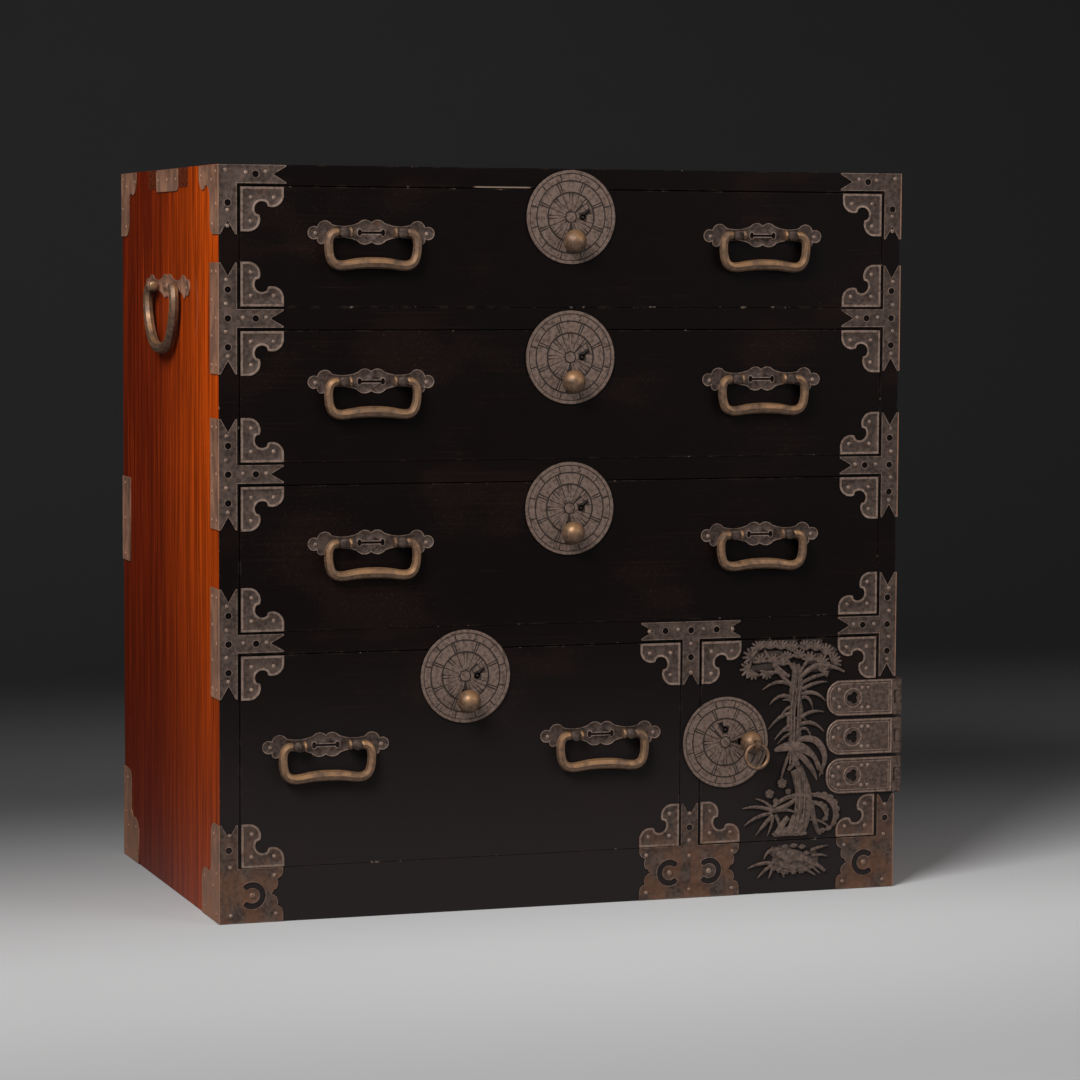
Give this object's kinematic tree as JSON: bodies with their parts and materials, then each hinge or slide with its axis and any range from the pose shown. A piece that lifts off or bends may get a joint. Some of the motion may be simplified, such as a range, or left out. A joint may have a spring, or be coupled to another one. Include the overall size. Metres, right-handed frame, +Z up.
{
  "type": "chest of drawers",
  "caption": "Low clothing chest with full-width drawers, a side-hung door over small inner drawers, round lock plates, bail handles and forged iron mounts.",
  "frame": {"origin": "on the floor, under the middle of the carcass", "axes": "+X to the right of someone facing the drawers, +Y to the back, +Z up; drawers open toward -Y"},
  "size_m": [0.8558, 0.5384, 0.85],
  "materials": {
    "dark_lacquered_front": "near-black lacquer, worn",
    "red_brown_lacquered_case": "wiped red-brown lacquer, strong grain",
    "bare_paulownia": "bare, aged",
    "inner_drawer_wood": "thin wiped lacquer",
    "rust_brown_forged_iron": "forged, rust-brown patina",
    "patinated_sheet_iron": "hammered sheet, grey-brown patina"
  },
  "bodies": {
    "carcass": {"side_panel_left": "red_brown_lacquered_case", "side_panel_right": "red_brown_lacquered_case", "top_board": "red_brown_lacquered_case", "bottom_board": "bare_paulownia", "back_boards": "bare_paulownia", "base_frame": "dark_lacquered_front", "drawer_rails": "dark_lacquered_front", "dust_boards": "bare_paulownia", "door_post": "dark_lacquered_front", "partition_boards": "bare_paulownia", "inner_shelves": "bare_paulownia", "carcass_corner_irons": "patinated_sheet_iron", "carcass_tee_irons": "patinated_sheet_iron", "base_shoe_irons": "patinated_sheet_iron", "post_irons": "patinated_sheet_iron", "side_and_rear_irons": "patinated_sheet_iron", "side_handle_plates": "patinated_sheet_iron", "door_hinge_leaves": "patinated_sheet_iron", "door_hinge_pins": "patinated_sheet_iron", "base_relief": "patinated_sheet_iron"},
    "drawer_1": {"drawer_1_front": "dark_lacquered_front", "drawer_1_box": "bare_paulownia", "drawer_1_irons": "patinated_sheet_iron", "drawer_1_lock": "patinated_sheet_iron"},
    "drawer_1_lock_knob": {"drawer_1_lock_knob": "rust_brown_forged_iron"},
    "drawer_1_bail_left": {"drawer_1_bail_left": "rust_brown_forged_iron"},
    "drawer_1_bail_right": {"drawer_1_bail_right": "rust_brown_forged_iron"},
    "drawer_2": {"drawer_2_front": "dark_lacquered_front", "drawer_2_box": "bare_paulownia", "drawer_2_irons": "patinated_sheet_iron", "drawer_2_lock": "patinated_sheet_iron"},
    "drawer_2_lock_knob": {"drawer_2_lock_knob": "rust_brown_forged_iron"},
    "drawer_2_bail_left": {"drawer_2_bail_left": "rust_brown_forged_iron"},
    "drawer_2_bail_right": {"drawer_2_bail_right": "rust_brown_forged_iron"},
    "drawer_3": {"drawer_3_front": "dark_lacquered_front", "drawer_3_box": "bare_paulownia", "drawer_3_irons": "patinated_sheet_iron", "drawer_3_lock": "patinated_sheet_iron"},
    "drawer_3_lock_knob": {"drawer_3_lock_knob": "rust_brown_forged_iron"},
    "drawer_3_bail_left": {"drawer_3_bail_left": "rust_brown_forged_iron"},
    "drawer_3_bail_right": {"drawer_3_bail_right": "rust_brown_forged_iron"},
    "drawer_4": {"drawer_4_front": "dark_lacquered_front", "drawer_4_box": "bare_paulownia", "drawer_4_irons": "patinated_sheet_iron", "drawer_4_lock": "patinated_sheet_iron"},
    "drawer_4_lock_knob": {"drawer_4_lock_knob": "rust_brown_forged_iron"},
    "drawer_4_bail_left": {"drawer_4_bail_left": "rust_brown_forged_iron"},
    "drawer_4_bail_right": {"drawer_4_bail_right": "rust_brown_forged_iron"},
    "door": {"door_panel": "dark_lacquered_front", "door_corner_irons": "patinated_sheet_iron", "door_lock": "patinated_sheet_iron", "door_hinge_straps": "patinated_sheet_iron", "door_relief": "patinated_sheet_iron"},
    "door_lock_knob": {"door_lock_knob": "rust_brown_forged_iron"},
    "door_knob_ring": {"door_knob_ring": "rust_brown_forged_iron"},
    "inner_drawer_1": {"inner_drawer_1": "inner_drawer_wood"},
    "inner_drawer_2": {"inner_drawer_2": "inner_drawer_wood"},
    "inner_drawer_3": {"inner_drawer_3": "inner_drawer_wood"},
    "side_bail_left": {"side_bail_left": "rust_brown_forged_iron"},
    "side_bail_right": {"side_bail_right": "rust_brown_forged_iron"}
  },
  "joints": [
    {"name": "drawer_1_slide", "type": "slide", "parent": "carcass", "child": "drawer_1", "axis": [0, -1, 0], "range_m": [0, 0.32]},
    {"name": "drawer_1_lock_knob_slide", "type": "slide", "parent": "drawer_1", "child": "drawer_1_lock_knob", "axis": [0, 0, 1], "range_m": [0, 0.008]},
    {"name": "drawer_1_bail_left_hinge", "type": "hinge", "parent": "drawer_1", "child": "drawer_1_bail_left", "pos_m": [-0.237, -0.2587, 0.7755], "axis": [-1, 0, 0], "range_deg": [0, 150]},
    {"name": "drawer_1_bail_right_hinge", "type": "hinge", "parent": "drawer_1", "child": "drawer_1_bail_right", "pos_m": [0.237, -0.2587, 0.7755], "axis": [-1, 0, 0], "range_deg": [0, 150]},
    {"name": "drawer_2_slide", "type": "slide", "parent": "carcass", "child": "drawer_2", "axis": [0, -1, 0], "range_m": [0, 0.32]},
    {"name": "drawer_2_lock_knob_slide", "type": "slide", "parent": "drawer_2", "child": "drawer_2_lock_knob", "axis": [0, 0, 1], "range_m": [0, 0.008]},
    {"name": "drawer_2_bail_left_hinge", "type": "hinge", "parent": "drawer_2", "child": "drawer_2_bail_left", "pos_m": [-0.237, -0.2587, 0.60875], "axis": [-1, 0, 0], "range_deg": [0, 150]},
    {"name": "drawer_2_bail_right_hinge", "type": "hinge", "parent": "drawer_2", "child": "drawer_2_bail_right", "pos_m": [0.237, -0.2587, 0.60875], "axis": [-1, 0, 0], "range_deg": [0, 150]},
    {"name": "drawer_3_slide", "type": "slide", "parent": "carcass", "child": "drawer_3", "axis": [0, -1, 0], "range_m": [0, 0.32]},
    {"name": "drawer_3_lock_knob_slide", "type": "slide", "parent": "drawer_3", "child": "drawer_3_lock_knob", "axis": [0, 0, 1], "range_m": [0, 0.008]},
    {"name": "drawer_3_bail_left_hinge", "type": "hinge", "parent": "drawer_3", "child": "drawer_3_bail_left", "pos_m": [-0.237, -0.2587, 0.427], "axis": [-1, 0, 0], "range_deg": [0, 150]},
    {"name": "drawer_3_bail_right_hinge", "type": "hinge", "parent": "drawer_3", "child": "drawer_3_bail_right", "pos_m": [0.237, -0.2587, 0.427], "axis": [-1, 0, 0], "range_deg": [0, 150]},
    {"name": "drawer_4_slide", "type": "slide", "parent": "carcass", "child": "drawer_4", "axis": [0, -1, 0], "range_m": [0, 0.32]},
    {"name": "drawer_4_lock_knob_slide", "type": "slide", "parent": "drawer_4", "child": "drawer_4_lock_knob", "axis": [0, 0, 1], "range_m": [0, 0.008]},
    {"name": "drawer_4_bail_left_hinge", "type": "hinge", "parent": "drawer_4", "child": "drawer_4_bail_left", "pos_m": [-0.28975, -0.2587, 0.19875], "axis": [-1, 0, 0], "range_deg": [0, 150]},
    {"name": "drawer_4_bail_right_hinge", "type": "hinge", "parent": "drawer_4", "child": "drawer_4_bail_right", "pos_m": [0.04025, -0.2587, 0.19875], "axis": [-1, 0, 0], "range_deg": [0, 150]},
    {"name": "door_hinge", "type": "hinge", "parent": "carcass", "child": "door", "pos_m": [0.4185, -0.2465, 0.18275], "axis": [0, 0, 1], "range_deg": [0, 180]},
    {"name": "door_lock_knob_slide", "type": "slide", "parent": "door", "child": "door_lock_knob", "axis": [-1, 0, 0], "range_m": [0, 0.008]},
    {"name": "door_knob_ring_hinge", "type": "hinge", "parent": "door_lock_knob", "child": "door_knob_ring", "pos_m": [0.2235, -0.28217, 0.18275], "axis": [-1, 0, 0], "range_deg": [0, 90]},
    {"name": "inner_drawer_1_slide", "type": "slide", "parent": "carcass", "child": "inner_drawer_1", "axis": [0, -1, 0], "range_m": [0, 0.063]},
    {"name": "inner_drawer_2_slide", "type": "slide", "parent": "carcass", "child": "inner_drawer_2", "axis": [0, -1, 0], "range_m": [0, 0.0945]},
    {"name": "inner_drawer_3_slide", "type": "slide", "parent": "carcass", "child": "inner_drawer_3", "axis": [0, -1, 0], "range_m": [0, 0.126]},
    {"name": "side_bail_left_hinge", "type": "hinge", "parent": "carcass", "child": "side_bail_left", "pos_m": [-0.4212, 0, 0.713], "axis": [0, 1, 0], "range_deg": [0, 110]},
    {"name": "side_bail_right_hinge", "type": "hinge", "parent": "carcass", "child": "side_bail_right", "pos_m": [0.4212, 0, 0.713], "axis": [0, -1, 0], "range_deg": [0, 110]}
  ],
  "couplings": [
    {"joint": "inner_drawer_1_slide", "follows": "door_hinge", "m_per_rad": 0.02},
    {"joint": "inner_drawer_2_slide", "follows": "door_hinge", "m_per_rad": 0.03},
    {"joint": "inner_drawer_3_slide", "follows": "door_hinge", "m_per_rad": 0.04}
  ]
}
